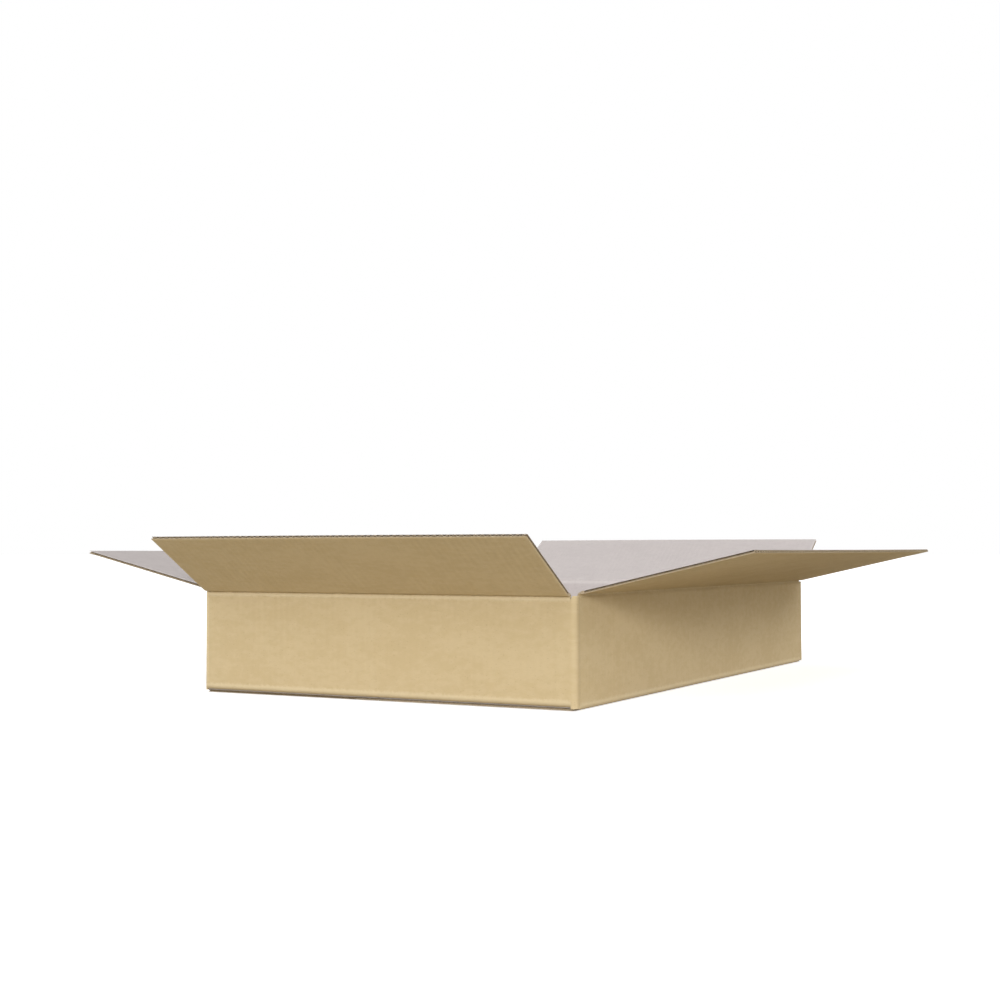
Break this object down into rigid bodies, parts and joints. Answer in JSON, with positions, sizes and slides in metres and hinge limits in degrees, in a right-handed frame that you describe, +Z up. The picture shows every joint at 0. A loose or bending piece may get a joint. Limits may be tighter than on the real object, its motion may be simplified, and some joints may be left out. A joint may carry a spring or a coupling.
{
  "type": "shallow open corrugated carton",
  "caption": "Shallow rectangular corrugated carton standing open, with hinged top flaps folded outwards and a glued flap floor.",
  "frame": {"origin": "middle of the floor's underside, on the surface that the carton stands on", "axes": "+Z up out of the open top, +Y along the carton from the front flap to the back flap, +X from the left flap to the right flap"},
  "size_m": [0.7106, 0.812, 0.15],
  "materials": {
    "carton_board": "matt brown kraft outside, grey-white liner inside"
  },
  "bodies": {
    "carton": {"carton_body": "carton_board"},
    "front_lid": {"front_flap": "carton_board"},
    "back_lid": {"back_flap": "carton_board"},
    "left_lid": {"left_flap": "carton_board"},
    "right_lid": {"right_flap": "carton_board"}
  },
  "joints": [
    {"name": "front_fold", "type": "hinge", "parent": "carton", "child": "front_lid", "pos_m": [0, -0.3235, 0.0965], "axis": [1, 0, 0], "range_deg": [-147.4, 77.6]},
    {"name": "back_fold", "type": "hinge", "parent": "carton", "child": "back_lid", "pos_m": [0, 0.3235, 0.0965], "axis": [-1, 0, 0], "range_deg": [-147.4, 77.6]},
    {"name": "left_fold", "type": "hinge", "parent": "carton", "child": "left_lid", "pos_m": [-0.1985, 0, 0.0998], "axis": [0, -1, 0], "range_deg": [-167.1, 47.9]},
    {"name": "right_fold", "type": "hinge", "parent": "carton", "child": "right_lid", "pos_m": [0.1985, 0, 0.0998], "axis": [0, 1, 0], "range_deg": [-167.1, 47.9]}
  ]
}
